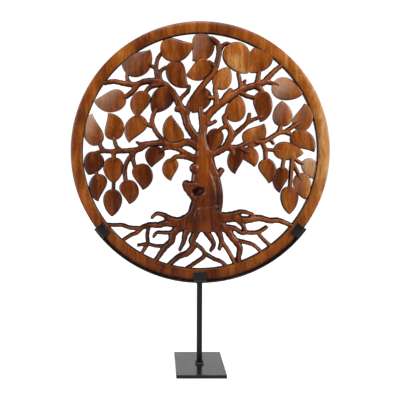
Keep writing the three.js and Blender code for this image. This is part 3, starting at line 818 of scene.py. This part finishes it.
# x, z, heading of the tip in degrees, length, width, steps forward, the side that is hollowed
# towards the tip, and how the wood shows, with a painted sheen on the pale and rosy ones
leaf_runs = (
    (-36, 158, 8, 52, 38, 1, 1, "gold"),
    (-95, 138, 35, 52, 41, 0, 1, "rosy"),
    (-34, 118, -58, 48, 33, 0, 1, "dark"),
    (-139, 78, 187, 50, 35, 1, -1, "pale"),
    (-93, 74, -108, 42, 30, 1, 1, "mid"),
    (-60, 79, -128, 46, 34, 0, 0, "dark"),
    (-101, 36, -122, 46, 31, 0, 1, "mid"),
    (-134, 40, 101, 43, 32, 0, 1, "mid"),
    (-166, 34, 102, 50, 31, 1, -1, "pale"),
    (-43, 33, 103, 48, 32, 0, -1, "mid"),
    (-166, -18, -112, 38, 32, 0, 0, "dark"),
    (-134, -28, -90, 41, 32, 1, 0, "mid"),
    (-159, -55, -98, 43, 28, 0, 1, "dark"),
    (-136, -79, -92, 43, 30, 0, 0, "mid"),
    (-109, -62, -81, 38, 30, 0, -1, "dark"),
    (-88, -38, -81, 41, 32, 1, -1, "dark"),
    (-71, -7, -115, 34, 29, 0, 1, "dark"),
    (-46, -27, -97, 35, 25, 0, 1, "mid"),
    (-1, 79, -122, 44, 31, 0, 0, "dark"),
    (2, 159, -115, 46, 38, 0, -1, "rosy"),
    (-2, 125, -152, 42, 32, -1, -1, "gold"),
    (58, 143, -55, 54, 42, 1, 0, "gold"),
    (90, 141, -125, 46, 38, 0, 0, "gold"),
    (35, 114, 62, 38, 30, 0, 0, "gold"),
    (134, 96, -18, 49, 35, 1, 0, "pale"),
    (97, 70, -90, 48, 30, 1, -1, "mid"),
    (55, 67, 73, 42, 32, 0, 0, "gold"),
    (127, 59, 93, 40, 31, 0, 0, "rosy"),
    (160, 53, 76, 43, 30, 0, 1, "rosy"),
    (22, 18, -105, 38, 27, 0, 0, "mid"),
    (86, 26, 43, 43, 32, 1, 1, "mid"),
    (161, 17, -37, 45, 31, 1, -1, "dark"),
    (137, 1, -7, 47, 29, 0, 0, "gold"),
    (79, -7, -60, 33, 26, 0, -1, "mid"),
    (54, -14, -98, 40, 25, 0, 1, "dark"),
    (106, -29, -76, 39, 27, 0, -1, "mid"),
    (125, -43, -101, 41, 23, 0, 1, "dark"),
    (171, -26, -70, 34, 24, 0, 0, "pale"),
    (160, -53, -80, 42, 27, 0, 0, "rosy"),
    (139, -75, -90, 44, 28, 0, 0, "mid"),
)


leaf_edge_width, leaf_end_width, leaf_edge_height = 0.0028, 0.0035, 0.0016
leaf_dome, leaf_crease, leaf_step, leaf_highest, leaf_back = 0.0022, 0.0004, 0.0009, 0.0058, 0.0042
leaf_tones = {"dark": 0.16, "mid": 0.44, "gold": 0.72, "pale": 0.60, "rosy": 0.36}
# Colour of the painted sheen, a reflection of the lights, and how much of it pale and rosy leaves show.
painted_sheen_colour = (0.62, 0.38, 0.26)
leaf_painted_sheens = {"pale": 1.0, "rosy": 0.42}


def leaf_outline(share, fullness):
    """Half of the leaf's width at this share of its length: a round foot and a pointed tip."""
    widest = 0.48 / (0.48 + fullness)
    return (share / widest) ** 0.48 * ((1 - share) / (1 - widest)) ** fullness


def carve_leaf(name, x, z, heading, length, width, layer, hollow_side, shade):
    """One leaf: a domed and creased front with softened edges, upright walls and a flat back."""
    bpy.ops.object.select_all(action="DESELECT")
    bpy.ops.mesh.primitive_grid_add(x_subdivisions=30, y_subdivisions=18, size=2)
    leaf = bpy.context.object
    leaf.name = leaf.data.name = name
    angle = math.radians(heading)
    along = Vector((math.cos(angle), 0, math.sin(angle)))
    aside = Vector((-math.sin(angle), 0, math.cos(angle)))
    centre = disc_middle + Vector((x, 0, z)) * layout / 1000
    seed = math.sin(12.9898 * x + 78.233 * z) * 43758.5453
    chance = [(seed * factor) % 1 for factor in (1, 7.13, 3.71, 11.9)]
    tilt_aside = (chance[0] - 0.5) * 0.0058
    tilt_along = (chance[1] - 0.5) * 0.0044
    half_length, half_width = length * layout / 2000, width * layout / 2000
    painted_sheens, tones = [], []
    for vertex in leaf.data.vertices:
        t = math.sin(vertex.co.x * math.pi / 2)
        u = math.sin(vertex.co.y * math.pi / 2)
        share = 0.5 + 0.4995 * t
        fullness = 0.74 + (0.42 if u * hollow_side > 0 else -0.2) * abs(hollow_side)
        reach = max(leaf_outline(share, fullness), 0.01)
        margin = min(1, (1 - abs(u)) * reach * half_width / leaf_edge_width)
        margin = min(margin, (1 - abs(t)) * half_length / leaf_end_width)
        edge = math.sqrt(max(0, 1 - (1 - margin) ** 2))
        dome = (1 - u * u) * (1 - 0.5 * t * t)
        crease = math.exp(-((u * reach * half_width) / 0.0016) ** 2) * (0.5 - 0.5 * t)
        rise = 0.0004 + leaf_edge_height * edge + leaf_dome * dome - leaf_crease * crease
        rise += tilt_aside * u * reach * edge + tilt_along * t * edge + layer * leaf_step
        rise = min(rise, leaf_highest)
        curl = 0.05 * math.sin(math.pi * share) * (chance[2] - 0.5) * 2
        curl = half_width * (curl + 0.3 * hollow_side * max(0, 2 * share - 1) ** 2)
        vertex.co = centre + along * t * half_length + aside * (u * reach * half_width + curl)
        vertex.co.y = disc_middle.y - rise
        spot = (vertex.co - centre) / half_length
        # Painted sheen on pale and rosy leaves, strongest towards each leaf's upper left, where the light
        # falls.
        painted_sheens.append(leaf_painted_sheens.get(shade, 0) * max(0.08, min(1, 0.45 - 0.9 * spot.x + 0.6 * spot.z)))
        # Painted light and shade: one side of the midrib is lighter and the other darker, by a random
        # amount, as a folded leaf takes the light.
        painted_half_shade = 0.3 * (chance[1] - 0.5) * math.tanh(4 * u)
        tones.append(leaf_tones[shade] + 0.12 * (chance[3] - 0.5) + painted_half_shade)
    for label, values in (("painted_sheen", painted_sheens), ("tone", tones), ("shift", [chance[3]] * len(tones))):
        layer_of = leaf.data.attributes.new(f"leaf_{label}", "FLOAT", "POINT")
        layer_of.data.foreach_set("value", values)
    bpy.ops.object.mode_set(mode="EDIT")
    bpy.ops.mesh.select_all(action="SELECT")
    bpy.ops.mesh.extrude_region_move(TRANSFORM_OT_translate={"value": (0, 0.002, 0)})
    back = disc_middle.y + leaf_back
    bpy.ops.transform.resize(value=(0.97, 0, 0.97), center_override=(centre.x, back, centre.z))
    bpy.ops.mesh.select_all(action="SELECT")
    bpy.ops.mesh.remove_doubles(threshold=0.00002)
    bpy.ops.mesh.normals_make_consistent(inside=False)
    bpy.ops.object.mode_set(mode="OBJECT")
    return leaf


leaf_pieces = [carve_leaf(f"leaf_{number}", *run) for number, run in enumerate(leaf_runs)]
only(*leaf_pieces)
bpy.ops.object.join()
leaves = take_up("leaves")
bpy.ops.object.shade_smooth_by_angle(angle=math.radians(55))
leaf_wood, leaf_grain = waxed_wood("leaf_wood", tone=0.5)
leaf_tree = leaf_wood.node_tree
tone, painted_sheen, shift = (
    add_node(leaf_tree, "ShaderNodeAttribute", attribute_name=f"leaf_{label}").outputs["Fac"]
    for label in ("tone", "painted_sheen", "shift")
)
leaf_tree.links.new(tone, leaf_grain.inputs["Tone"])
leaf_tree.links.new(shift, leaf_grain.inputs["Shift"])
# The painted sheen, broken into patches by noise, mixes a pale pinkish colour into the wood.
sheen_noise = add_node(leaf_tree, "ShaderNodeTexNoise", [("Scale", 45.0), ("Detail", 3.0)])
leaf_tree.links.new(add_node(leaf_tree, "ShaderNodeTexCoord").outputs["Object"], sheen_noise.inputs["Vector"])
patchy = between(leaf_tree, sheen_noise.outputs["Fac"], 0.35, 0.65, 0.35, 0.75)
painted_sheen = arithmetic(leaf_tree, "MULTIPLY", painted_sheen, patchy)
with_painted_sheen = blend(leaf_tree, painted_sheen, leaf_grain.outputs["Colour"], painted_sheen_colour)
leaf_tree.links.new(with_painted_sheen, leaf_tree.nodes["Principled BSDF"].inputs["Base Color"])
fit(leaves, "disc", leaf_wood, "carved_wood", "carved_disc")

# ---------------------------------------------------------------- floor, light and camera
# A white floor and a white room, two tall soft lights at the sides, one overhead and two
# behind.

bpy.ops.object.select_all(action="DESELECT")
bpy.ops.mesh.primitive_plane_add(size=12, location=(0, 0, -0.0003))
floor = bpy.context.object
floor.name = "floor"
floor_white, floor_tree, floor_shader = new_material("floor_white", Roughness=0.8, Specular_IOR_Level=0.1)
floor_shader.inputs["Base Color"].default_value = (0.35, 0.35, 0.35, 1)
floor_shader.inputs["Emission Color"].default_value = (1, 1, 1, 1)
watched = add_node(floor_tree, "ShaderNodeLightPath").outputs["Is Camera Ray"]
glow = between(floor_tree, watched, 0, 1, 0.05, 0.98)
floor_tree.links.new(glow, floor_shader.inputs["Emission Strength"])
floor.data.materials.append(floor_white)
floor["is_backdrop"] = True

world = bpy.data.worlds.new("room")
bpy.context.scene.world = world
world.use_nodes = True
room = world.node_tree
backdrop = room.nodes["Background"]
place = add_node(room, "ShaderNodeTexCoord").outputs["Generated"]
front = add_node(room, "ShaderNodeSeparateXYZ", [(0, place)]).outputs["Y"]
dimmed = between(room, front, -0.9, 0.1, 0.045, 0.025)
seen = add_node(room, "ShaderNodeLightPath").outputs["Is Camera Ray"]
strength = add_node(room, "ShaderNodeMix", [(0, seen), (2, dimmed), (3, 1.05)], data_type="FLOAT")
room.links.new(strength.outputs[0], backdrop.inputs["Strength"])
backdrop.inputs["Color"].default_value = (1, 1, 1, 1)


def soft_light(name, place, aim, width, height, power):
    """A rectangular soft light turned to face a point."""
    bpy.ops.object.select_all(action="DESELECT")
    bpy.ops.object.light_add(type="AREA", location=place)
    light = bpy.context.object
    light.name = name
    light.data.shape = "RECTANGLE"
    light.data.size = width
    light.data.size_y = height
    light.data.energy = power
    light.rotation_euler = (Vector(aim) - Vector(place)).to_track_quat("-Z", "Y").to_euler()
    return light


soft_light("left_light", (-1.3, -0.75, 0.6), (0, 0, 0.33), 0.4, 1.3, 13)
soft_light("right_light", (1.4, -0.5, 0.9), (0, 0, 0.35), 0.4, 1.3, 20)
soft_light("top_light", (0.1, -0.9, 1.7), (0, 0, 0.3), 1.2, 0.4, 11)
soft_light("back_light", (0.1, 1.9, 0.98), (0, 0, 0.1), 1.5, 0.6, 5)
soft_light("rear_light", (-0.9, 1.7, 0.45), (0, 0, 0.34), 0.6, 1.0, 11)

bpy.ops.object.select_all(action="DESELECT")
bpy.ops.object.camera_add(location=(-0.067, -0.68, 0.3465), rotation=(math.radians(88.1), 0, 0))
camera = bpy.context.object
camera.name = "camera"
camera.data.lens = 39.4
camera.data.sensor_width = 36
camera.data.shift_x = 0.108
camera.data.shift_y = -0.0975
camera.data.clip_start = 0.01
bpy.context.scene.camera = camera
bpy.context.scene.view_settings.view_transform = "Standard"

# ---------------------------------------------------------------- sizes
# The box round everything drawn except the backdrop.

low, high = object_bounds()
